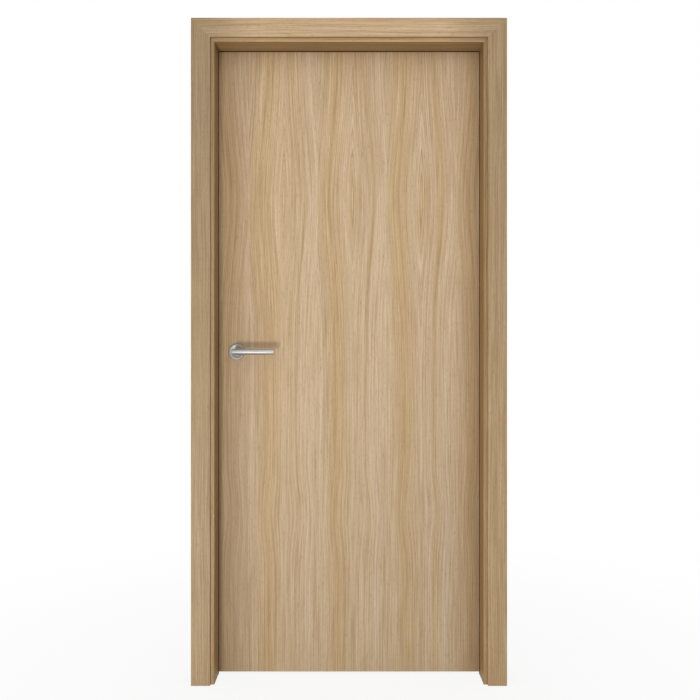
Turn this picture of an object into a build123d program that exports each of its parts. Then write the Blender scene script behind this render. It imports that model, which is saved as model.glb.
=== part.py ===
from build123d import *
import os

# Flush door in a rebated timber frame, in millimetres.
# X runs along the wall, Y from the push side to the pull side, Z up from the floor.
# The origin is the lower front corner of the hinge jamb's outer face, on the wall's front plane.

# Clear passage and wall
passage_width = 850
passage_height = 2028
wall_thickness = 125

# Frame stock
jamb_thickness = 30
rebate_width = 12
casing_width = 60
casing_thickness = 10
front_setback = 12
back_setback = 12
casing_round = 1.5
jamb_ease = 0.8

# Leaf
leaf_thickness = 40
skin_thickness = 4
lipping_width = 24
leaf_round = 1.2
hinge_gap = 5
lock_gap = 6.5
head_gap = 5
floor_gap = 6
shoulder_gap = 9

# Seal between the shoulder of the rebate and the leaf
kerf_inset = 3
kerf_width = 3.6
kerf_depth = 6
seal_lip = 0.8
seal_width = 12
seal_clearance = 0.3
seal_round = 1.8

# Hinges
hinge_height = 100
hinge_end_distance = 200
hinge_plate_thickness = 2.5
hinge_plate_width = 27
hinge_plate_corner = 5
knuckle_diameter = 14
knuckle_gap = 0.5
pin_diameter = 7
pin_clearance = 0.05
pin_setout = 9
pin_cap_height = 3
pin_cap_diameter = 12
pin_cap_bevel = 1

# Lever handle
handle_height = 1050
backset = 65
rose_diameter = 52
rose_thickness = 8
rose_bevel = 1.5
lever_projection = 50
lever_diameter = 19
lever_reach = 126
lever_end_bevel = 1.2
neck_clearance = 0.3
spindle_side = 8
spindle_socket = 25
spindle_clearance = 0.1
spindle_bore = 24

# Mortise lock and strike
faceplate_width = 20
faceplate_height = 235
faceplate_thickness = 3
lock_case_depth = 90
lock_case_height = 165
lock_case_thickness = 15
follower_bore = 12.4
latch_rise = 20
latch_height = 24
latch_thickness = 12
latch_length = 40
latch_proud = 1
mortise_clearance = 0.3
strike_height = 160
strike_thickness = 2
strike_pocket = 12
strike_corner = 3
latch_play = 2

# Lines worked out from the sizes above
passage_right = -jamb_thickness
passage_left = passage_right - passage_width
centre_x = (passage_left + passage_right) / 2
leaf_front = wall_thickness - leaf_thickness
leaf_right = passage_right + rebate_width - hinge_gap
leaf_left = passage_left - rebate_width + lock_gap
leaf_width = leaf_right - leaf_left
leaf_top = passage_height + rebate_width - head_gap
leaf_height = leaf_top - floor_gap
leaf_middle_x = (leaf_left + leaf_right) / 2
leaf_middle_y = (leaf_front + wall_thickness) / 2
leaf_middle_z = (floor_gap + leaf_top) / 2
core_thickness = leaf_thickness - 2 * skin_thickness
shoulder = leaf_front - shoulder_gap
pin_x = leaf_right + hinge_gap / 2
pin_y = wall_thickness + pin_setout
spindle_x = leaf_left + backset
latch_z = handle_height + latch_rise
hinge_levels = {
    "bottom": floor_gap + hinge_end_distance,
    "middle": leaf_middle_z,
    "top": leaf_top - hinge_end_distance,
}

middle_plane = Plane.YZ.offset(centre_x)
right_mitre = Plane(origin=(passage_right, 0, passage_height), x_dir=(0, 1, 0), z_dir=(-1, 0, 1))
left_mitre = Plane(origin=(passage_left, 0, passage_height), x_dir=(0, 1, 0), z_dir=(1, 0, 1))

os.makedirs("parts", exist_ok=True)


def save(piece, name):
    piece.label = name
    export_step(piece, f"parts/{name}.step")


def mitred_set(profile, reach):
    # Left, right and head members of one profile, drawn outwards from the passage's edge
    with BuildPart() as right:
        with BuildSketch(Plane(origin=(passage_right, 0, 0))):
            add(profile)
        extrude(amount=passage_height + reach)
        split(bisect_by=right_mitre, keep=Keep.BOTTOM)
    with BuildPart() as left:
        mirror(right.part, about=middle_plane)
    head_start = Plane(
        origin=(passage_right + reach, 0, passage_height), x_dir=(0, 0, 1), z_dir=(-1, 0, 0)
    )
    with BuildPart() as head:
        with BuildSketch(head_start):
            add(profile)
        extrude(amount=passage_width + 2 * reach)
        split(bisect_by=right_mitre, keep=Keep.TOP)
        split(bisect_by=left_mitre, keep=Keep.TOP)
    return left.part, right.part, head.part


# Casing profiles: a flat board with its two outer long edges rounded
def casing_profile(setback, back_face, outward):
    with BuildSketch() as profile:
        with Locations((setback + casing_width / 2, back_face + outward * casing_thickness / 2)):
            Rectangle(casing_width, casing_thickness)
        outer = profile.vertices().group_by(Axis.Y)[-1 if outward > 0 else 0]
        fillet(outer, radius=casing_round)
    return profile.sketch


front_profile = casing_profile(front_setback, 0, -1)
back_inner = rebate_width + back_setback
back_profile = casing_profile(back_inner, wall_thickness, 1)
for face, profile, reach in (
    ("front", front_profile, front_setback + casing_width),
    ("back", back_profile, back_inner + casing_width),
):
    for side, member in zip(("left", "right", "head"), mitred_set(profile, reach)):
        save(member, f"{side}_{face}_casing")

# Jambs: a board with a rebate for the leaf and a kerf in its shoulder for the seal
with BuildSketch() as jamb_profile:
    with Locations((jamb_thickness / 2, wall_thickness / 2)):
        Rectangle(jamb_thickness, wall_thickness)
    with Locations((rebate_width / 2, (shoulder + wall_thickness) / 2)):
        Rectangle(rebate_width, wall_thickness - shoulder, mode=Mode.SUBTRACT)
    with Locations((kerf_inset + kerf_width / 2, shoulder - kerf_depth / 2)):
        Rectangle(kerf_width, kerf_depth, mode=Mode.SUBTRACT)
    passage_corners = jamb_profile.vertices().group_by(Axis.X)[0]
    chamfer(passage_corners, length=jamb_ease)

left_stock, right_stock, head_stock = mitred_set(jamb_profile.sketch, jamb_thickness)
save(head_stock, "head_jamb")

strike_face = passage_left - rebate_width
window_width = latch_thickness + 2 * latch_play
window_height = latch_height + 2 * latch_play
with BuildPart() as left_jamb:
    add(left_stock)
    with Locations((strike_face - strike_thickness / 2, leaf_middle_y, latch_z)):
        Box(strike_thickness, faceplate_width, strike_height, mode=Mode.SUBTRACT)
    with Locations((strike_face - strike_pocket / 2, leaf_middle_y, latch_z)):
        Box(strike_pocket, window_width, window_height, mode=Mode.SUBTRACT)
save(left_jamb.part, "left_jamb")

# Strike plate, flush in the rebate, with a window for the latch
with BuildPart() as strike_plate:
    with Locations((strike_face - strike_thickness / 2, leaf_middle_y, latch_z)):
        Box(strike_thickness, faceplate_width, strike_height)
        Box(strike_thickness, window_width, window_height, mode=Mode.SUBTRACT)
    corners = strike_plate.edges().filter_by(Axis.X).group_by(Axis.Z)
    fillet(corners[0] + corners[-1], radius=strike_corner)
save(strike_plate.part, "strike_plate")


# Hinge plates are let into the jamb and into the leaf's edge, and share the pin's axis
def hinge_plate(inner_face, turn, level):
    plate_plane = Plane.YZ.offset(inner_face)
    plate_start = pin_y - (pin_setout + hinge_plate_width)
    with BuildSketch(plate_plane) as outline:
        with Locations(((plate_start + pin_y) / 2, level)):
            Rectangle(pin_y - plate_start, hinge_height)
        fillet(outline.vertices().group_by(Axis.Y)[0], radius=hinge_plate_corner)
    return extrude(outline.sketch, amount=turn * hinge_plate_thickness, mode=Mode.PRIVATE)


jamb_hinge_face = passage_right + rebate_width
with BuildPart() as right_jamb:
    add(right_stock)
    for level in hinge_levels.values():
        add(hinge_plate(jamb_hinge_face, 1, level), mode=Mode.SUBTRACT)
save(right_jamb.part, "right_jamb")

knuckle_height = (hinge_height - 2 * knuckle_gap) / 3
knuckle_step = knuckle_height + knuckle_gap
knuckle_radius = knuckle_diameter / 2
for place, level in hinge_levels.items():
    # The frame half carries the outer knuckles, the leaf half the middle one
    halves = (
        ("frame", jamb_hinge_face, 1, (-knuckle_step, knuckle_step), (0,)),
        ("leaf", leaf_right, -1, (0,), (-knuckle_step, knuckle_step)),
    )
    for half, face, turn, own_knuckles, other_knuckles in halves:
        with BuildPart() as plate:
            add(hinge_plate(face, turn, level))
            with Locations(*[(pin_x, pin_y, level + rise) for rise in other_knuckles]):
                Cylinder(
                    knuckle_radius + knuckle_gap, knuckle_height + 2 * knuckle_gap, mode=Mode.SUBTRACT
                )
            with Locations(*[(pin_x, pin_y, level + rise) for rise in own_knuckles]):
                Cylinder(knuckle_radius, knuckle_height)
            with Locations((pin_x, pin_y, level)):
                Cylinder(pin_diameter / 2 + pin_clearance, 2 * hinge_height, mode=Mode.SUBTRACT)
        save(plate.part, f"{place}_hinge_{half}_plate")

    # Pin with a button cap at each end
    with BuildPart() as pin:
        with Locations((pin_x, pin_y, level)):
            Cylinder(pin_diameter / 2, hinge_height)
        cap_centre = (hinge_height + pin_cap_height) / 2
        with Locations((pin_x, pin_y, level - cap_centre), (pin_x, pin_y, level + cap_centre)):
            Cylinder(pin_cap_diameter / 2, pin_cap_height)
        ends = pin.edges().filter_by(GeomType.CIRCLE)
        chamfer([ends.sort_by(Axis.Z)[0], ends.sort_by(Axis.Z)[-1]], length=pin_cap_bevel)
    save(pin.part, f"{place}_hinge_pin")

# Seals: a stem in the kerf and a flat bulb that closes the gap in front of the leaf
stem_width = kerf_width - 2 * seal_clearance
stem_length = kerf_depth - seal_clearance
bulb_front = shoulder + seal_clearance
bulb_thickness = shoulder_gap - 2 * seal_clearance
with BuildSketch() as seal_profile:
    with Locations((kerf_inset + kerf_width / 2, bulb_front - stem_length / 2)):
        Rectangle(stem_width, stem_length)
    with Locations((seal_width / 2 - seal_lip, bulb_front + bulb_thickness / 2)):
        Rectangle(seal_width, bulb_thickness)
    lip = seal_profile.vertices().group_by(Axis.X)[0]
    fillet(lip, radius=seal_round)
seal_reach = seal_width - seal_lip
for side, member in zip(("left", "right", "head"), mitred_set(seal_profile.sketch, seal_reach)):
    save(member, f"{side}_seal")

# Leaf: a core between two lippings, under a skin on each side
case_left = leaf_left + faceplate_thickness
case_x = case_left + lock_case_depth / 2
mortise_depth = lock_case_depth + mortise_clearance
core_left = leaf_left + lipping_width
core_right = leaf_right - lipping_width


def cut_lock_mortise():
    # The pocket for the faceplate, the lock case and the spindle
    with Locations((leaf_left + faceplate_thickness / 2, leaf_middle_y, handle_height)):
        Box(faceplate_thickness, faceplate_width, faceplate_height, mode=Mode.SUBTRACT)
    with Locations((case_left + mortise_depth / 2, leaf_middle_y, handle_height)):
        Box(
            mortise_depth,
            lock_case_thickness + 2 * mortise_clearance,
            lock_case_height + 2 * mortise_clearance,
            mode=Mode.SUBTRACT,
        )
    with Locations((spindle_x, leaf_middle_y, handle_height)):
        Cylinder(spindle_bore / 2, leaf_thickness, rotation=(90, 0, 0), mode=Mode.SUBTRACT)


def cut_hinge_housings():
    for level in hinge_levels.values():
        add(hinge_plate(leaf_right, -1, level), mode=Mode.SUBTRACT)


with BuildPart() as leaf_core:
    with Locations(((core_left + core_right) / 2, leaf_middle_y, leaf_middle_z)):
        Box(core_right - core_left, core_thickness, leaf_height)
    cut_lock_mortise()
save(leaf_core.part, "leaf_core")

with BuildPart() as lock_edge_lipping:
    with Locations((leaf_left + lipping_width / 2, leaf_middle_y, leaf_middle_z)):
        Box(lipping_width, core_thickness, leaf_height)
    cut_lock_mortise()
save(lock_edge_lipping.part, "lock_edge_lipping")

with BuildPart() as hinge_edge_lipping:
    with Locations((leaf_right - lipping_width / 2, leaf_middle_y, leaf_middle_z)):
        Box(lipping_width, core_thickness, leaf_height)
    cut_hinge_housings()
save(hinge_edge_lipping.part, "hinge_edge_lipping")

skin_places = {"front_face": leaf_front, "back_face": wall_thickness - skin_thickness}
for name, skin_front in skin_places.items():
    with BuildPart() as skin:
        with Locations((leaf_middle_x, skin_front + skin_thickness / 2, leaf_middle_z)):
            Box(leaf_width, skin_thickness, leaf_height)
        outer = skin.faces().sort_by(Axis.Y)[0 if name == "front_face" else -1]
        fillet(outer.edges(), radius=leaf_round)
        with Locations((spindle_x, leaf_middle_y, handle_height)):
            Cylinder(spindle_bore / 2, leaf_thickness, rotation=(90, 0, 0), mode=Mode.SUBTRACT)
        cut_hinge_housings()
    save(skin.part, name)

# Lock case with its faceplate and latch, set into the lock edge
with BuildPart() as lock_case:
    with Locations((case_x, leaf_middle_y, handle_height)):
        Box(lock_case_depth, lock_case_thickness, lock_case_height)
    with Locations((spindle_x, leaf_middle_y, handle_height)):
        Cylinder(follower_bore / 2, leaf_thickness, rotation=(90, 0, 0), mode=Mode.SUBTRACT)
    with Locations((case_left + latch_length / 2, leaf_middle_y, latch_z)):
        Box(latch_length, latch_thickness, latch_height, mode=Mode.SUBTRACT)
save(lock_case.part, "lock_case")

with BuildPart() as lock_faceplate:
    with Locations((leaf_left + faceplate_thickness / 2, leaf_middle_y, handle_height)):
        Box(faceplate_thickness, faceplate_width, faceplate_height)
    with Locations((leaf_left + faceplate_thickness / 2, leaf_middle_y, latch_z)):
        Box(faceplate_thickness, latch_thickness, latch_height, mode=Mode.SUBTRACT)
save(lock_faceplate.part, "lock_faceplate")

with BuildPart() as latch_bolt:
    latch_nose = leaf_left - latch_proud
    with Locations(((latch_nose + case_left + latch_length) / 2, leaf_middle_y, latch_z)):
        Box(case_left + latch_length - latch_nose, latch_thickness, latch_height)
save(latch_bolt.part, "latch_bolt")

# Roses and levers, the pull side mirrored from the push side
leaf_mid_plane = Plane.XZ.offset(-leaf_middle_y)
rose_plane = Plane.XZ.offset(-leaf_front)
with BuildPart() as front_rose:
    with BuildSketch(rose_plane):
        with Locations((spindle_x, handle_height)):
            Circle(rose_diameter / 2)
            Circle(lever_diameter / 2 + neck_clearance, mode=Mode.SUBTRACT)
    extrude(amount=rose_thickness)
    rim = front_rose.edges().filter_by(GeomType.CIRCLE).group_by(Axis.Y)[0].sort_by(SortBy.RADIUS)[-1]
    chamfer(rim, length=rose_bevel)
save(front_rose.part, "front_rose")

# Each lever is one round bar, mitred at the corner where the neck turns into the grip
lever_y = leaf_front - lever_projection
neck_start = (spindle_x, leaf_front - neck_clearance, handle_height)
with BuildPart() as front_lever:
    with BuildLine() as lever_path:
        Polyline(
            neck_start,
            (spindle_x, lever_y, handle_height),
            (spindle_x + lever_reach, lever_y, handle_height),
        )
    with BuildSketch(Plane(origin=neck_start, z_dir=(0, -1, 0))):
        Circle(lever_diameter / 2)
    sweep(path=lever_path.line, transition=Transition.RIGHT)
    tip = front_lever.faces().sort_by(Axis.X)[-1]
    chamfer(tip.edges(), length=lever_end_bevel)
    socket_side = spindle_side + 2 * spindle_clearance
    with BuildSketch(rose_plane):
        with Locations((spindle_x, handle_height)):
            Rectangle(socket_side, socket_side)
    extrude(amount=spindle_socket, mode=Mode.SUBTRACT)
save(front_lever.part, "front_lever")

for name, front_piece in (("back_rose", front_rose), ("back_lever", front_lever)):
    with BuildPart() as back_piece:
        mirror(front_piece.part, about=leaf_mid_plane)
    save(back_piece.part, name)

# Square spindle through the lock, between the sockets of the two levers
with BuildPart() as spindle:
    spindle_length = leaf_thickness + 2 * (spindle_socket - spindle_clearance)
    with Locations((spindle_x, leaf_middle_y, handle_height)):
        Box(spindle_side, spindle_length, spindle_side)
save(spindle.part, "spindle")
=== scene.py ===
import bpy
import math
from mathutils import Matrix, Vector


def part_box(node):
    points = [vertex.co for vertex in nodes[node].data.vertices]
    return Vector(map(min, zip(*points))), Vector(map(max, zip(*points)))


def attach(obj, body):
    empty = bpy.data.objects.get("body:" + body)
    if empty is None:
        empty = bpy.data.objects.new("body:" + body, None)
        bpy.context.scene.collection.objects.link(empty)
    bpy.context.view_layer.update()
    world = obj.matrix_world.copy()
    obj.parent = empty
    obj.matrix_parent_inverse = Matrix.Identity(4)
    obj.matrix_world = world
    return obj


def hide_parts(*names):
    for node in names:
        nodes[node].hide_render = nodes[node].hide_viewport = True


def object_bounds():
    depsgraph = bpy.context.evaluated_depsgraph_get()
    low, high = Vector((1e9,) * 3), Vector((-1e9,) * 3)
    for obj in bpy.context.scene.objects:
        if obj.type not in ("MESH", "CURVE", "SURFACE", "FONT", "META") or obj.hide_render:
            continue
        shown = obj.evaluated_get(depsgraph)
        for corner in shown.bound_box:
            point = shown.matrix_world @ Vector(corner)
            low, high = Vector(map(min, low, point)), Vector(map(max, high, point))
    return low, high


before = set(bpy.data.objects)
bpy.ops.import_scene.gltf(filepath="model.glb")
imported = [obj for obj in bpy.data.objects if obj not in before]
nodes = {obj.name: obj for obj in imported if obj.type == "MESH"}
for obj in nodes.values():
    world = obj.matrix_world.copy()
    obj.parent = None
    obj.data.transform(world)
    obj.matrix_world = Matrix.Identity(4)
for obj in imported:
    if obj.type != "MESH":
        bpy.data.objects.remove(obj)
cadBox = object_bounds()
print("frame loaded:", len(nodes), "nodes")

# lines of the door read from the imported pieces, in metres
casingLow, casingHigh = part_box("head_front_casing")
leafLow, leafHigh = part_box("front_face")
roseLow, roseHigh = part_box("front_rose")
leverLow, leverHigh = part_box("front_lever")
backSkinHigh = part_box("back_face")[1]
centreX = (casingLow[0] + casingHigh[0]) / 2
casingFront = casingLow[1]
leafFront = leafLow[1]
leafBack = backSkinHigh[1]
spindleX = (roseLow[0] + roseHigh[0]) / 2
handleZ = (roseLow[2] + roseHigh[2]) / 2

noiseMiddle = 0.5
colorMix = {"a": 6, "b": 7, "result": 2}   # sockets of a Mix node set to colours
white = (1, 1, 1, 1)


# small helpers for shader trees
def setInputs(tree, node, inputs):
    for key, value in inputs.items():
        if isinstance(value, bpy.types.NodeSocket):
            tree.links.new(value, node.inputs[key])
        else:
            node.inputs[key].default_value = value


def addNode(tree, kind, inputs=None, **settings):
    node = tree.nodes.new(kind)
    for name, value in settings.items():
        setattr(node, name, value)
    setInputs(tree, node, inputs or {})
    return node


def calc(tree, operation, a, b=0.0, c=0.0):
    return addNode(tree, "ShaderNodeMath", {0: a, 1: b, 2: c}, operation=operation).outputs[0]


def spread(tree, value, edges, results=(0.0, 1.0)):
    keys = {0: value, 1: edges[0], 2: edges[1], 3: results[0], 4: results[1]}
    return addNode(tree, "ShaderNodeMapRange", keys, interpolation_type="SMOOTHSTEP").outputs[0]


def bell(tree, value, middle, width):
    ratio = calc(tree, "DIVIDE", calc(tree, "SUBTRACT", value, middle), width)
    return calc(tree, "EXPONENT", calc(tree, "MULTIPLY", calc(tree, "MULTIPLY", ratio, ratio), -1.0))


def point(tree, x, y, z):
    return addNode(tree, "ShaderNodeCombineXYZ", {0: x, 1: y, 2: z}).outputs[0]


def axesOf(tree, vector):
    return addNode(tree, "ShaderNodeSeparateXYZ", {0: vector}).outputs


def noise(tree, vector, detail, scale=1.0):
    keys = {"Vector": vector, "Scale": scale, "Detail": detail}
    return addNode(tree, "ShaderNodeTexNoise", keys).outputs[0]


# noise that swings about nought
def swing(tree, vector, detail):
    return calc(tree, "SUBTRACT", noise(tree, vector, detail), noiseMiddle)


def mixColor(tree, factor, a, b, blend="MIX"):
    keys = {"Factor": factor, colorMix["a"]: a, colorMix["b"]: b}
    node = addNode(tree, "ShaderNodeMix", keys, data_type="RGBA", blend_type=blend)
    return node.outputs[colorMix["result"]]


def tinted(tree, color, tint):
    return mixColor(tree, 1.0, color, tint, "MULTIPLY")


def emptyTree(owner):
    owner.use_nodes = True
    owner.node_tree.nodes.clear()
    return owner.node_tree


def startMaterial(name):
    material = bpy.data.materials.new(name)
    tree = emptyTree(material)
    shader = addNode(tree, "ShaderNodeBsdfPrincipled")
    addNode(tree, "ShaderNodeOutputMaterial", {0: shader.outputs[0]})
    place = addNode(tree, "ShaderNodeTexCoord").outputs["Object"]
    return material, tree, shader, place


# bump is a strength and a height in metres
def addBump(tree, shader, height, bump):
    keys = {"Height": height, "Strength": bump[0], "Distance": bump[1]}
    setInputs(tree, shader, {"Normal": addNode(tree, "ShaderNodeBump", keys).outputs[0]})


def dress(node, material):
    mesh = nodes[node].data
    mesh.materials.clear()
    mesh.materials.append(material)


# oak: growth rings, fine grain and open pores, all in metres
oak = {
    "golden": (0.490, 0.330, 0.160, 1),
    "pale": (0.575, 0.432, 0.290, 1),
    "pore": (0.280, 0.175, 0.085, 1),
    "hue": 0.5,                         # between golden and pale
    # layers: rate across the grain, rate along it, noise detail, share, and place in the noise
    "bands": (26, 0.25, 1.0, 1.1, 0.0),
    "rings": (95, 0.7, 1.5, 0.06, 11.0),
    "streaks": (470, 4.0, 1.0, 0.64, 37.0),
    "fibres": (600, 10.0, 1.0, 0.48, 53.0),
    "lines": (320, 1.0, 1.0, 0.14, 23.0),
    "pores": (760, 60.0, 1.0, 0.56, 41.0),
    "lineEdges": (-0.02, 0.12),         # noise where a dark line starts, and where it is full
    "lineLight": (0.4, -0.6),
    "poreEdges": (0.06, 0.28),
    "poreDepth": -0.4,
    # how much more the darkening shows in green and in blue than in red
    "greenShare": 1.3,
    "blueShare": 1.8,
    "bump": (0.25, 0.0004),
    "roughness": 0.55,
    "gloss": 0.35,
}


def buildOakGroup():
    group = bpy.data.node_groups.new("oakGrain", "ShaderNodeTree")
    for name in ("Ring", "Across", "Along", "Seed", "Hue"):
        group.interface.new_socket(name, in_out="INPUT", socket_type="NodeSocketFloat")
    group.interface.new_socket("Color", in_out="OUTPUT", socket_type="NodeSocketColor")
    group.interface.new_socket("Height", in_out="OUTPUT", socket_type="NodeSocketFloat")
    given = addNode(group, "NodeGroupInput").outputs

    def layer(name, base):
        perMetre, alongRate, detail, share, lift = oak[name]
        sideways = calc(group, "MULTIPLY", given[base], perMetre)
        lengthways = calc(group, "MULTIPLY", given["Along"], alongRate)
        place = point(group, sideways, lengthways, calc(group, "ADD", given["Seed"], lift))
        return swing(group, place, detail), share

    bands, share = layer("bands", "Ring")
    hue = calc(group, "MULTIPLY_ADD", bands, share, given["Hue"])
    color = mixColor(group, hue, oak["golden"], oak["pale"])
    light = 1.0
    for name, base in (("rings", "Ring"), ("streaks", "Ring"), ("fibres", "Across")):
        grain, share = layer(name, base)
        light = calc(group, "MULTIPLY_ADD", grain, share, light)
    # crisp dark lines that follow the rings
    lines, share = layer("lines", "Ring")
    lines = spread(group, lines, oak["lineEdges"], oak["lineLight"])
    light = calc(group, "MULTIPLY_ADD", lines, share, light)
    green = calc(group, "POWER", light, oak["greenShare"])
    blue = calc(group, "POWER", light, oak["blueShare"])
    color = tinted(group, color, point(group, light, green, blue))
    pores, share = layer("pores", "Across")
    pores = spread(group, pores, oak["poreEdges"])
    color = mixColor(group, calc(group, "MULTIPLY", pores, share), color, oak["pore"])
    height = calc(group, "MULTIPLY_ADD", pores, oak["poreDepth"], light)
    addNode(group, "NodeGroupOutput", {"Color": color, "Height": height})
    return group


oakGroup = buildOakGroup()


def finishOak(tree, shader, ring, across, along, seed, hue, tint):
    keys = {"Ring": ring, "Across": across, "Along": along, "Seed": seed, "Hue": hue}
    grain = addNode(tree, "ShaderNodeGroup", keys, node_tree=oakGroup).outputs
    color = tinted(tree, grain["Color"], tint)
    gloss = {"Roughness": oak["roughness"], "Specular IOR Level": oak["gloss"]}
    setInputs(tree, shader, {"Base Color": color, **gloss})
    addBump(tree, shader, grain["Height"], oak["bump"])


# the leaf's veneer: slip-matched sheets, each with a spindle-shaped heart
veneer = {
    "frontSeed": 1.7,
    "backSeed": 64.3,
    "sheetWidth": 0.2246,
    "sheetStep": 0.21,            # change of the seed from one sheet to the next
    "heart": 0.0114,              # a heart's distance from the leaf's middle
    "heartRound": 0.00001,        # rounds the rings at a heart, in square metres
    "eyeHeight": 1.542,           # middle of the long spindle
    "eyeReach": 0.028,
    "eyeLength": 0.27,
    "waistHeight": 0.520,         # where the grain bulges and pinches
    "bulge": 0.014,
    "bulgeLength": 0.11,
    "wander": 0.012,
    "wanderAcross": 4.0,
    "wanderDetail": 1.0,
    "sideShift": 0.9,             # change of the seed from one side of a heart to the other
    "sideReach": 0.045,
    # stripes on each sheet: ring they follow, half width, and how pale (or golden) they are
    "stripes": (
        (-0.078, 0.014, -0.28),
        (0.072, 0.008, -0.20),
        (0.108, 0.022, 0.22),
        (-0.015, 0.02, 0.08),
    ),
    # painted shade: the edge tint darkens the leaf along its upright edges, where the reveals shade it
    "edge": (0.79, 0.75, 0.695, 1),
    "edgeShadeShift": 0.03,            # the painted shade reaches further in on the lock side
    "edgeShadeReach": (0.30, 0.415),   # from the leaf's middle: where the painted shade starts, and is full
    # painted light and shade: paler at the head, darker at the foot
    "foot": (0.890, 0.888, 0.875, 1),
    "head": (1.18, 1.175, 1.17, 1),
}


def veneerFigure(tree, across, along, seed):
    slow = calc(tree, "MULTIPLY", across, veneer["wanderAcross"])
    drift = swing(tree, point(tree, slow, along, seed), veneer["wanderDetail"])
    moved = calc(tree, "MULTIPLY_ADD", drift, veneer["wander"], across)
    width = veneer["sheetWidth"]
    half = width / 2
    shifted = calc(tree, "ADD", moved, half)
    side = calc(tree, "SUBTRACT", calc(tree, "FLOORED_MODULO", shifted, width), half)
    foldLength = veneer["eyeHeight"] - veneer["waistHeight"]
    fold = calc(tree, "PINGPONG", calc(tree, "SUBTRACT", along, veneer["waistHeight"]), foldLength)
    # bulges at the hearts and pinches between them, at the waist
    waist = bell(tree, fold, 0.0, veneer["bulgeLength"])
    wave = calc(tree, "SINE", calc(tree, "MULTIPLY", side, 2 * math.pi / width))
    push = calc(tree, "MULTIPLY", calc(tree, "MULTIPLY", wave, waist), -veneer["bulge"])
    side = calc(tree, "ADD", side, push)
    # nested spindles that close above and below the eye
    closed = calc(tree, "SUBTRACT", 1.0, bell(tree, fold, foldLength, veneer["eyeLength"]))
    soft = calc(tree, "SQRT", calc(tree, "MULTIPLY_ADD", side, side, veneer["heartRound"]))
    ring = calc(tree, "MULTIPLY_ADD", closed, veneer["eyeReach"], soft)
    signed = calc(tree, "MULTIPLY", ring, calc(tree, "SIGN", side))
    hue = oak["hue"]
    for spot, stripeWidth, strength in veneer["stripes"]:
        hue = calc(tree, "MULTIPLY_ADD", bell(tree, signed, spot, stripeWidth), strength, hue)
    sideReach = veneer["sideReach"]
    turn = spread(tree, side, (-sideReach, sideReach), (0.0, veneer["sideShift"]))
    sheet = calc(tree, "FLOOR", calc(tree, "DIVIDE", shifted, width))
    sheetSeed = calc(tree, "MULTIPLY_ADD", sheet, veneer["sheetStep"], calc(tree, "ADD", turn, seed))
    return ring, sheetSeed, hue


# painted light and shade: paler at the head, darker at the foot, and painted shade along the upright
# edges, where the reveals shade the leaf
def veneerPaintedShade(tree, axes):
    rise = spread(tree, axes[2], (leafLow[2], leafHigh[2]))
    tint = mixColor(tree, rise, veneer["foot"], veneer["head"])
    reach = calc(tree, "ABSOLUTE", calc(tree, "SUBTRACT", axes[0], centreX + veneer["edgeShadeShift"]))
    outward = spread(tree, reach, veneer["edgeShadeReach"])
    return mixColor(tree, outward, tint, tinted(tree, tint, veneer["edge"]))


def veneerMaterial(name, seed):
    material, tree, shader, place = startMaterial(name)
    axes = axesOf(tree, place)
    across = calc(tree, "SUBTRACT", axes[0], centreX + veneer["heart"])
    ring, sheetSeed, hue = veneerFigure(tree, across, axes[2], seed)
    finishOak(tree, shader, ring, across, axes[2], sheetSeed, hue, veneerPaintedShade(tree, axes))
    return material


dress("front_face", veneerMaterial("front_veneer", veneer["frontSeed"]))
dress("back_face", veneerMaterial("back_veneer", veneer["backSeed"]))

# boards of the frame: straight grain along the board, wandering a little
board = {
    "wander": 0.03,
    "wanderAlong": 1.3,
    "wanderAcross": 5.0,
    "wanderDetail": 1.0,
    "heartRound": 0.0001,         # rounds the rings at a heart, in square metres
    "facing": (0.3, 0.7),         # share of a normal where a face's tint starts, and is full
    # face tints: right is the boards' own tone, left a darker copy with painted shade, and head a paler
    # copy with painted light
    "left": (0.730, 0.705, 0.650, 1),
    "right": (0.800, 0.765, 0.680, 1),
    "head": (1.160, 1.110, 1.010, 1),
    "headLightFade": (0.27, 0.46),     # from the middle of a head board to where its painted light has faded to the sides' tone
    # painted shade on the casings' inner edges: the shadow line beside the jambs
    "casingSideShade": (0.620, 0.560, 0.460, 1),
    # painted light: the head jamb's front strip is paler than the side strips
    "jambHeadLight": (1.080, 1.000, 0.840, 1),
    "jambEdge": (0.710, 0.650, 0.505, 1),
    # painted shade on the faces that look into the doorway, which the depth of the reveal shades
    "jambInsideShade": (0.560, 0.480, 0.340, 1),
}

# lengthways axis, side that looks into the doorway, distance of the heart, seed,
# and tints of the face, of that side, and of the ends and outer side; most of these tints are painted
# light and shade
boards = {
    "left_front_casing": (2, 1, 0.04, 3.1, "left", "casingSideShade", "left"),
    "right_front_casing": (2, -1, -0.05, 7.7, "right", "casingSideShade", "right"),
    "head_front_casing": (0, -1, 0.03, 12.4, "head", "casingSideShade", "right"),
    "left_back_casing": (2, 1, 0.03, 15.2, "right", "casingSideShade", "right"),
    "right_back_casing": (2, -1, -0.04, 18.6, "right", "casingSideShade", "right"),
    "head_back_casing": (0, -1, 0.04, 21.9, "head", "casingSideShade", "right"),
    "left_jamb": (2, 1, 0.10, 25.3, "jambEdge", "jambInsideShade", "jambEdge"),
    "right_jamb": (2, -1, -0.12, 28.8, "jambEdge", "jambInsideShade", "jambEdge"),
    "head_jamb": (0, -1, 0.10, 31.5, "jambHeadLight", "jambInsideShade", "right"),
    "lock_edge_lipping": (2, 1, 0.10, 34.7, "right", "right", "right"),
    "hinge_edge_lipping": (2, 1, 0.14, 38.2, "right", "right", "right"),
}


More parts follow.
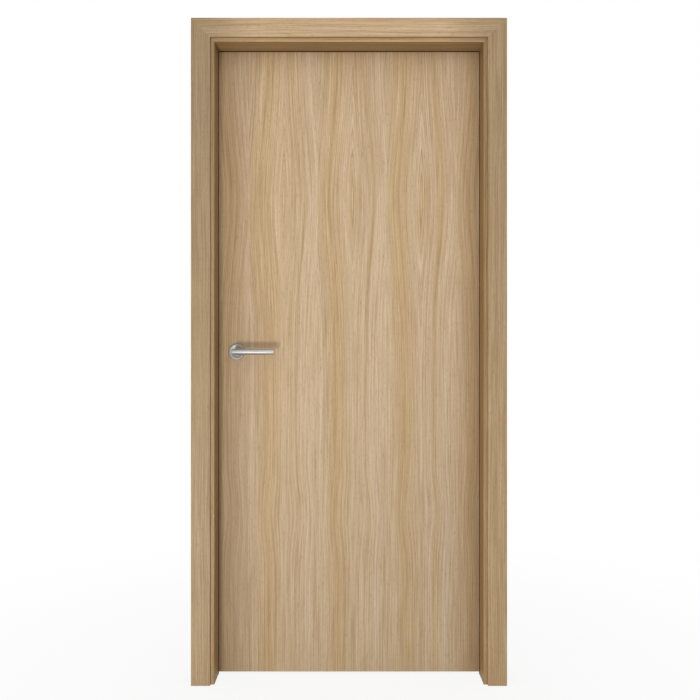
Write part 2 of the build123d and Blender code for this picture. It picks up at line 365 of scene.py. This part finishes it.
# painted light and shade by facing: faces along the wall, faces that look into the doorway, and the
# outer sides
def boardPaintedLight(tree, along, lengthAxis, crossAxis, inward, tints):
    faceTint, insideTint, endTint = [board[tint] for tint in tints]
    normal = axesOf(tree, addNode(tree, "ShaderNodeTexCoord").outputs["Normal"])
    # mask of the faces that look into the doorway, where the painted shade goes
    looksIn = spread(tree, calc(tree, "MULTIPLY", normal[crossAxis], inward), board["facing"])
    sideTint = mixColor(tree, looksIn, endTint, insideTint)
    if lengthAxis == 0:
        reach = calc(tree, "ABSOLUTE", calc(tree, "SUBTRACT", along, centreX))
        # painted light on a head board, strongest at its middle
        faceTint = mixColor(tree, spread(tree, reach, board["headLightFade"]), faceTint, endTint)
    facing = spread(tree, calc(tree, "ABSOLUTE", normal[1]), board["facing"])
    return mixColor(tree, facing, sideTint, faceTint)


def boardMaterial(node, lengthAxis, inward, heartGap, seed, *tints):
    material, tree, shader, place = startMaterial(node + "_oak")
    axes = axesOf(tree, place)
    crossAxis = 0 if lengthAxis == 2 else 2
    low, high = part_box(node)
    heart = (low[crossAxis] + high[crossAxis]) / 2 + (low[1] + high[1]) / 2 + heartGap
    across = calc(tree, "ADD", axes[crossAxis], axes[1])
    along = axes[lengthAxis]
    slowAcross = calc(tree, "MULTIPLY", across, board["wanderAcross"])
    slowAlong = calc(tree, "MULTIPLY", along, board["wanderAlong"])
    drift = swing(tree, point(tree, slowAcross, slowAlong, seed), board["wanderDetail"])
    offset = calc(tree, "SUBTRACT", calc(tree, "MULTIPLY_ADD", drift, board["wander"], across), heart)
    ring = calc(tree, "SQRT", calc(tree, "MULTIPLY_ADD", offset, offset, board["heartRound"]))
    tint = boardPaintedLight(tree, along, lengthAxis, crossAxis, inward, tints)
    finishOak(tree, shader, ring, across, along, seed, oak["hue"], tint)
    return material


for node, look in boards.items():
    dress(node, boardMaterial(node, *look))
print("oak dressed")

# chipped board inside the leaf, seen at its top and bottom edges
coreBoard = {
    "chipsPerMetre": 320,
    "dark": (0.25, 0.165, 0.09, 1),
    "pale": (0.52, 0.40, 0.26, 1),
    "roughness": 0.85,
    "bump": (0.4, 0.0005),
}


def coreMaterial():
    material, tree, shader, place = startMaterial("coreBoard")
    keys = {"Vector": place, "Scale": coreBoard["chipsPerMetre"]}
    chips = addNode(tree, "ShaderNodeTexVoronoi", keys).outputs["Color"]
    tone = addNode(tree, "ShaderNodeSeparateColor", {0: chips}).outputs[0]
    color = mixColor(tree, tone, coreBoard["dark"], coreBoard["pale"])
    setInputs(tree, shader, {"Base Color": color, "Roughness": coreBoard["roughness"]})
    addBump(tree, shader, tone, coreBoard["bump"])
    return material


dress("leaf_core", coreMaterial())

# dark brown rubber of the seals
rubber = {
    "dark": (0.036, 0.014, 0.004, 1),
    "pale": (0.075, 0.030, 0.009, 1),
    "mottlePerMetre": 140.0,
    "mottleDetail": 3.0,
    "mottleEdges": (0.3, 0.7),
    "rough": (0.65, 0.82),
    "gloss": 0.2,
    "bump": (0.15, 0.0003),
}


def rubberMaterial():
    material, tree, shader, place = startMaterial("sealRubber")
    mottle = noise(tree, place, rubber["mottleDetail"], rubber["mottlePerMetre"])
    color = mixColor(tree, mottle, rubber["dark"], rubber["pale"])
    rough = spread(tree, mottle, rubber["mottleEdges"], rubber["rough"])
    keys = {"Base Color": color, "Roughness": rough, "Specular IOR Level": rubber["gloss"]}
    setInputs(tree, shader, keys)
    addBump(tree, shader, mottle, rubber["bump"])
    return material


sealRubber = rubberMaterial()
for side in ("left", "right", "head"):
    dress(side + "_seal", sealRubber)

# satin steel: the lever drawn along its length, the roses turned, the plates drawn upright
steel = {
    "lever": {"dark": (0.42, 0.408, 0.390, 1), "pale": (0.54, 0.528, 0.508, 1), "rough": (0.44, 0.54)},
    "rose": {"dark": (0.24, 0.234, 0.222, 1), "pale": (0.36, 0.352, 0.336, 1), "rough": (0.38, 0.50)},
    "plate": {"dark": (0.46, 0.45, 0.43, 1), "pale": (0.62, 0.61, 0.59, 1), "rough": (0.50, 0.62)},
    "linesPerMetre": 3200,
    "lineLength": 60,       # a brushed line's length, in its own widths
    "turnRate": 1.5,        # steps of the noise in a radian round a rose
    "brushDetail": 2.0,
    "brushEdges": (0.3, 0.7),
    "bump": (0.12, 0.00005),
}


def finishSteel(tree, shader, place, look):
    brush = noise(tree, place, steel["brushDetail"])
    color = mixColor(tree, brush, look["dark"], look["pale"])
    rough = spread(tree, brush, steel["brushEdges"], look["rough"])
    setInputs(tree, shader, {"Base Color": color, "Roughness": rough, "Metallic": 1.0})
    addBump(tree, shader, brush, steel["bump"])


def drawnSteel(name, lengthAxis, look):
    material, tree, shader, place = startMaterial(name)
    rates = [steel["linesPerMetre"]] * 3
    rates[lengthAxis] /= steel["lineLength"]
    steps = [calc(tree, "MULTIPLY", axis, rate) for axis, rate in zip(axesOf(tree, place), rates)]
    finishSteel(tree, shader, point(tree, *steps), look)
    return material


def turnedSteel(name, look):
    material, tree, shader, place = startMaterial(name)
    axes = axesOf(tree, place)
    rate = steel["linesPerMetre"]
    sideways = calc(tree, "SUBTRACT", axes[0], spindleX)
    upwards = calc(tree, "SUBTRACT", axes[2], handleZ)
    squared = calc(tree, "MULTIPLY_ADD", sideways, sideways, calc(tree, "MULTIPLY", upwards, upwards))
    reach = calc(tree, "MULTIPLY", calc(tree, "SQRT", squared), rate)
    turn = calc(tree, "MULTIPLY", calc(tree, "ARCTAN2", upwards, sideways), steel["turnRate"])
    depth = calc(tree, "MULTIPLY", axes[1], rate)
    finishSteel(tree, shader, point(tree, reach, turn, depth), look)
    return material


leverSteel = drawnSteel("leverSteel", 0, steel["lever"])
roseSteel = turnedSteel("roseSteel", steel["rose"])
plateSteel = drawnSteel("plateSteel", 2, steel["plate"])
hingePlaces = ("bottom", "middle", "top")
for place in hingePlaces:
    for part in ("frame_plate", "leaf_plate", "pin"):
        dress(f"{place}_hinge_{part}", plateSteel)
for node in ("strike_plate", "lock_faceplate", "lock_case", "latch_bolt"):
    dress(node, plateSteel)
for node in ("spindle", "front_lever", "back_lever"):
    dress(node, leverSteel)
for node in ("front_rose", "back_rose"):
    dress(node, roseSteel)
print("rubber and steel dressed")

modelling = {
    "tolerance": 0.00001,
    "mergeGap": 0.000001,
    "smoothAngle": math.radians(35),
}


# small helpers for modelling
def startPiece(name):
    piece = bpy.context.object
    piece.name = name
    bpy.ops.object.transform_apply(location=True, rotation=True, scale=True)
    return piece


def choose(piece, kind, test):
    bpy.ops.object.mode_set(mode="OBJECT")
    bpy.context.tool_settings.mesh_select_mode = (False, kind == "EDGE", kind == "FACE")
    mesh = piece.data
    for group in (mesh.vertices, mesh.edges, mesh.polygons):
        group.foreach_set("select", [False] * len(group))
    if kind == "FACE":
        for face in mesh.polygons:
            face.select = test(face.center)
    else:
        chosen = [test(corner.co) for corner in mesh.vertices]
        for corner in mesh.vertices:
            corner.select = chosen[corner.index]
        for edge in mesh.edges:
            edge.select = all(chosen[corner] for corner in edge.vertices)
    bpy.ops.object.mode_set(mode="EDIT")


def extrude(step):
    bpy.ops.mesh.extrude_region_move(TRANSFORM_OT_translate={"value": step})


def closePiece(piece, material):
    bpy.ops.object.mode_set(mode="EDIT")
    bpy.ops.mesh.select_all(action="SELECT")
    bpy.ops.mesh.remove_doubles(threshold=modelling["mergeGap"])
    bpy.ops.mesh.normals_make_consistent(inside=False)
    bpy.ops.object.mode_set(mode="OBJECT")
    bpy.ops.object.shade_smooth_by_angle(angle=modelling["smoothAngle"])
    piece.data.materials.clear()
    piece.data.materials.append(material)


def settle(piece, body, node=None):
    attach(piece, body)
    if node:
        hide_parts(node)


# the copy is left in edit mode, all of it selected
def copyPiece(piece):
    bpy.ops.object.select_all(action="DESELECT")
    piece.select_set(True)
    bpy.context.view_layer.objects.active = piece
    bpy.ops.object.duplicate()
    bpy.ops.object.mode_set(mode="EDIT")
    bpy.ops.mesh.select_all(action="SELECT")
    return bpy.context.object


def mirrorChosen(scale, centre):
    bpy.ops.transform.resize(value=scale, center_override=centre)
    bpy.ops.mesh.flip_normals()


def mirrorAcrossLeaf(piece, name):
    twin = copyPiece(piece)
    twin.name = name
    mirrorChosen((1, -1, 1), (0, (leafFront + leafBack) / 2, 0))
    bpy.ops.object.mode_set(mode="OBJECT")
    return twin


# levers: one round bar, turned at a mitred corner, with a rounded tip
lever = {
    "sides": 48,
    "radius": (leverHigh[2] - leverLow[2]) / 2,
    "mitre": math.radians(45),
    "mitreEase": 0.0005,
    "mitreSteps": 2,
    "tipRound": 0.0016,
    "tipSteps": 4,
}


def makeLever():
    radius = lever["radius"]
    stretch = 1 / math.cos(lever["mitre"])
    near = modelling["tolerance"]
    axisY = leverLow[1] + radius
    corner = (spindleX, axisY, handleZ)
    tip = (leverHigh[0], axisY, handleZ)
    bpy.ops.object.select_all(action="DESELECT")
    bpy.ops.mesh.primitive_circle_add(
        vertices=lever["sides"],
        radius=radius,
        fill_type="NGON",
        location=(spindleX, leverHigh[1], handleZ),
        rotation=(math.radians(90), 0, 0),
    )
    piece = startPiece("frontLever")
    # neck, then a mitred cut, then the grip
    choose(piece, "FACE", lambda place: True)
    extrude((0, axisY - leverHigh[1], 0))
    bpy.ops.transform.rotate(value=-lever["mitre"], orient_axis="Z", center_override=corner)
    bpy.ops.transform.resize(value=(stretch, stretch, 1), center_override=corner)
    extrude((tip[0] - corner[0], 0, 0))
    bpy.ops.transform.resize(value=(0, 1, 1), center_override=tip)
    choose(piece, "EDGE", lambda place: place[0] > tip[0] - near)
    bpy.ops.mesh.bevel(offset=lever["tipRound"], segments=lever["tipSteps"], affect="EDGES")
    choose(piece, "EDGE", lambda place: abs((place[0] - corner[0]) - (place[1] - axisY)) < near)
    bpy.ops.mesh.bevel(offset=lever["mitreEase"], segments=lever["mitreSteps"], affect="EDGES")
    choose(piece, "EDGE", lambda place: place[1] > leverHigh[1] - near)
    bpy.ops.mesh.edge_face_add()
    closePiece(piece, leverSteel)
    return piece


frontLever = makeLever()
settle(frontLever, "handle", "front_lever")
settle(mirrorAcrossLeaf(frontLever, "backLever"), "handle", "back_lever")

# roses: a turned disc with a rounded rim, a shallow dish and a well round the neck
rose = {
    "sides": 72,
    "rimRound": 0.002,
    "rimSteps": 5,
    "dishDepth": 0.0006,
    "dishRim": 0.006,       # flat width between the rounded rim and the dish
    "dishSlope": 0.0012,
    "wellGap": 0.0007,
    "wellDepth": 0.005,
}


def makeRose():
    radius = (roseHigh[0] - roseLow[0]) / 2
    front = roseLow[1]
    thickness = roseHigh[1] - front
    near = modelling["tolerance"]
    bpy.ops.object.select_all(action="DESELECT")
    bpy.ops.mesh.primitive_cylinder_add(
        vertices=rose["sides"],
        radius=radius,
        depth=thickness,
        location=(spindleX, front + thickness / 2, handleZ),
        rotation=(math.radians(90), 0, 0),
    )
    piece = startPiece("frontRose")
    choose(piece, "EDGE", lambda place: place[1] < front + near)
    bpy.ops.mesh.bevel(offset=rose["rimRound"], segments=rose["rimSteps"], affect="EDGES")
    choose(piece, "FACE", lambda place: place[1] < front + near)
    bpy.ops.mesh.inset(thickness=rose["dishRim"])
    bpy.ops.mesh.inset(thickness=rose["dishSlope"], depth=-rose["dishDepth"])
    dishRadius = radius - rose["rimRound"] - rose["dishRim"] - rose["dishSlope"]
    wellRadius = lever["radius"] + rose["wellGap"]
    bpy.ops.mesh.inset(thickness=dishRadius - wellRadius)
    extrude((0, rose["wellDepth"], 0))
    closePiece(piece, roseSteel)
    return piece


frontRose = makeRose()
settle(frontRose, "leaf", "front_rose")
settle(mirrorAcrossLeaf(frontRose, "backRose"), "leaf", "back_rose")
print("levers and roses modelled")

# raised screws with a cross recess, on the hinges, the strike plate and the faceplate
screw = {
    "sides": 24,
    "radius": 0.004,
    "rim": 0.0002,
    "dome": ((0.0010, 0.0003), (0.0011, 0.00015)),   # steps inwards and upwards
    "crossLength": 0.0030,
    "crossWidth": 0.0007,
    "crossDepth": 0.0005,
    "hingeRows": (-0.038, -0.013, 0.013, 0.038),      # heights from the middle of a hinge
    "hingeColumns": (0.0205, 0.0095),                 # distances from the leaf's back, in turn
    "endGap": 0.010,                                  # from the ends of the strike and faceplate
}


def makeScrew():
    near = modelling["tolerance"]
    bpy.ops.object.select_all(action="DESELECT")
    bpy.ops.mesh.primitive_circle_add(
        vertices=screw["sides"],
        radius=screw["radius"],
        fill_type="NGON",
        rotation=(0, math.radians(-90), 0),
    )
    piece = startPiece("screw")
    choose(piece, "FACE", lambda place: True)
    extrude((-screw["rim"], 0, 0))
    top = -screw["rim"]
    for inwards, upwards in screw["dome"]:
        bpy.ops.mesh.inset(thickness=inwards, depth=upwards)
        top -= upwards
    halfLength = screw["crossLength"] / 2
    halfWidth = screw["crossWidth"] / 2
    for axis in (1, 2):
        for cut in (-halfLength, -halfWidth, halfWidth, halfLength):
            spot = [top, 0, 0]
            spot[axis] = cut
            across = [0, 0, 0]
            across[axis] = 1
            choose(piece, "FACE", lambda place: place[0] < top + near)
            bpy.ops.mesh.bisect(plane_co=spot, plane_no=across)

    def inCross(place):
        short, long = sorted((abs(place[1]), abs(place[2])))
        return place[0] < top + near and short < halfWidth and long < halfLength

    choose(piece, "FACE", inCross)
    extrude((screw["crossDepth"], 0, 0))
    choose(piece, "EDGE", lambda place: place[0] > -near)
    bpy.ops.mesh.edge_face_add()
    closePiece(piece, plateSteel)
    return piece


def screwRow(template, name, face, outward, spots):
    row = []
    for y, z in spots:
        row.append(copyPiece(template))
        if outward > 0:
            mirrorChosen((-1, 1, 1), (0, 0, 0))
        bpy.ops.transform.translate(value=(face, y, z))
        bpy.ops.object.mode_set(mode="OBJECT")
    bpy.ops.object.select_all(action="DESELECT")
    for piece in row:
        piece.select_set(True)
    bpy.context.view_layer.objects.active = row[0]
    bpy.ops.object.join()
    row[0].name = name
    return row[0]


def addHingeScrews(template):
    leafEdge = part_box("hinge_edge_lipping")[1][0]
    columns = screw["hingeColumns"]
    for place in hingePlaces:
        low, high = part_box(f"{place}_hinge_pin")
        frameFace = low[0] + high[0] - leafEdge
        middle = (low[2] + high[2]) / 2
        spots = [(leafBack - columns[i % 2], middle + row) for i, row in enumerate(screw["hingeRows"])]
        settle(screwRow(template, place + "FrameScrews", frameFace, -1, spots), "frame")
        settle(screwRow(template, place + "LeafScrews", leafEdge, 1, spots), "leaf")


def addLockScrews(template):
    for node, name, body, outward in (
        ("strike_plate", "strikeScrews", "frame", 1),
        ("lock_faceplate", "faceplateScrews", "leaf", -1),
    ):
        low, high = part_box(node)
        middle = (low[1] + high[1]) / 2
        face = high[0] if outward > 0 else low[0]
        spots = [(middle, low[2] + screw["endGap"]), (middle, high[2] - screw["endGap"])]
        settle(screwRow(template, name, face, outward, spots), body)


screwTemplate = makeScrew()
addHingeScrews(screwTemplate)
addLockScrews(screwTemplate)
bpy.data.objects.remove(screwTemplate)
print("screws modelled")

# white floor that keeps the door's shadow
floorLook = {
    "size": 60.0,
    "paint": (0.9, 0.9, 0.9, 1),
    "shadowShare": 0.12,
    "shadowReach": (0.4, 2.2),   # from the door: where the shadow starts to fade, and where it ends
}


def seenDirectly(tree):
    rays = addNode(tree, "ShaderNodeLightPath").outputs
    seen = calc(tree, "MAXIMUM", rays["Is Camera Ray"], rays["Is Glossy Ray"])
    return calc(tree, "MAXIMUM", seen, rays["Is Transmission Ray"])


def makeFloor():
    bpy.ops.object.select_all(action="DESELECT")
    bpy.ops.mesh.primitive_plane_add(size=floorLook["size"], location=(centreX, 0, cadBox[0][2]))
    floor = bpy.context.object
    floor.name = "studioFloor"
    material = bpy.data.materials.new("studioWhite")
    tree = emptyTree(material)
    paint = addNode(tree, "ShaderNodeBsdfDiffuse", {"Color": floorLook["paint"]})
    glow = addNode(tree, "ShaderNodeEmission", {"Color": white, "Strength": 1.0})
    place = addNode(tree, "ShaderNodeTexCoord").outputs["Object"]
    reach = addNode(tree, "ShaderNodeVectorMath", {0: place}, operation="LENGTH").outputs["Value"]
    share = spread(tree, reach, floorLook["shadowReach"], (1.0 - floorLook["shadowShare"], 1.0))
    share = calc(tree, "MULTIPLY", seenDirectly(tree), share)
    both = addNode(tree, "ShaderNodeMixShader", {0: share, 1: paint.outputs[0], 2: glow.outputs[0]})
    addNode(tree, "ShaderNodeOutputMaterial", {0: both.outputs[0]})
    floor.data.materials.append(material)


makeFloor()

# soft studio light: an even white room, a low lamp from the left, and a high one before and behind
room = {"light": 0.635}
lamps = {
    "lowLeft": {"place": (-0.69, -2.0, 0.15), "aim": (0.05, 0.0, 1.3), "size": 0.35, "power": 19},
    "highFront": {"place": (0.5, -2.8, 2.9), "aim": (0.0, 0.0, 1.3), "size": 2.2, "power": 7},
    "highBack": {"place": (-0.4, 3.2, 2.3), "aim": (0.0, 0.0, 1.1), "size": 2.6, "power": 12},
}


def lightRoom():
    world = bpy.data.worlds.new("studio")
    bpy.context.scene.world = world
    tree = emptyTree(world)
    ambient = addNode(tree, "ShaderNodeBackground", {"Color": white, "Strength": room["light"]})
    backdrop = addNode(tree, "ShaderNodeBackground", {"Color": white, "Strength": 1.0})
    keys = {0: seenDirectly(tree), 1: ambient.outputs[0], 2: backdrop.outputs[0]}
    both = addNode(tree, "ShaderNodeMixShader", keys)
    addNode(tree, "ShaderNodeOutputWorld", {0: both.outputs[0]})


# places and aims are from the door's middle, on the floor
def addLamp(name, lamp):
    data = bpy.data.lights.new(name, "AREA")
    data.size = lamp["size"]
    data.energy = lamp["power"]
    obj = bpy.data.objects.new(name, data)
    bpy.context.scene.collection.objects.link(obj)
    x, y, z = lamp["place"]
    obj.location = (x + centreX, y, z)
    away = [here - there for here, there in zip(lamp["place"], lamp["aim"])]
    flat = math.hypot(away[0], away[1])
    obj.rotation_euler = (math.atan2(flat, away[2]), 0, math.atan2(away[0], -away[1]))


lightRoom()
for name, lamp in lamps.items():
    addLamp(name, lamp)

# camera at the photograph's distance: level, straight in front of the door
camera = {
    "distance": 2.448,      # from the face of the casing
    "eyeHeight": 1.0557,
    "frameWidth": 2.1994,   # metres across the picture, at the casing's face
    "sideStep": 0.0032,
    "sensor": 36.0,
}


def makeCamera():
    data = bpy.data.cameras.new("photoCamera")
    data.sensor_width = camera["sensor"]
    data.lens = camera["sensor"] * camera["distance"] / camera["frameWidth"]
    obj = bpy.data.objects.new("photoCamera", data)
    bpy.context.scene.collection.objects.link(obj)
    obj.location = (centreX + camera["sideStep"], casingFront - camera["distance"], camera["eyeHeight"])
    obj.rotation_euler = (math.radians(90), 0, 0)
    bpy.context.scene.camera = obj


makeCamera()
bpy.context.scene.view_settings.view_transform = "Standard"
print("studio ready")
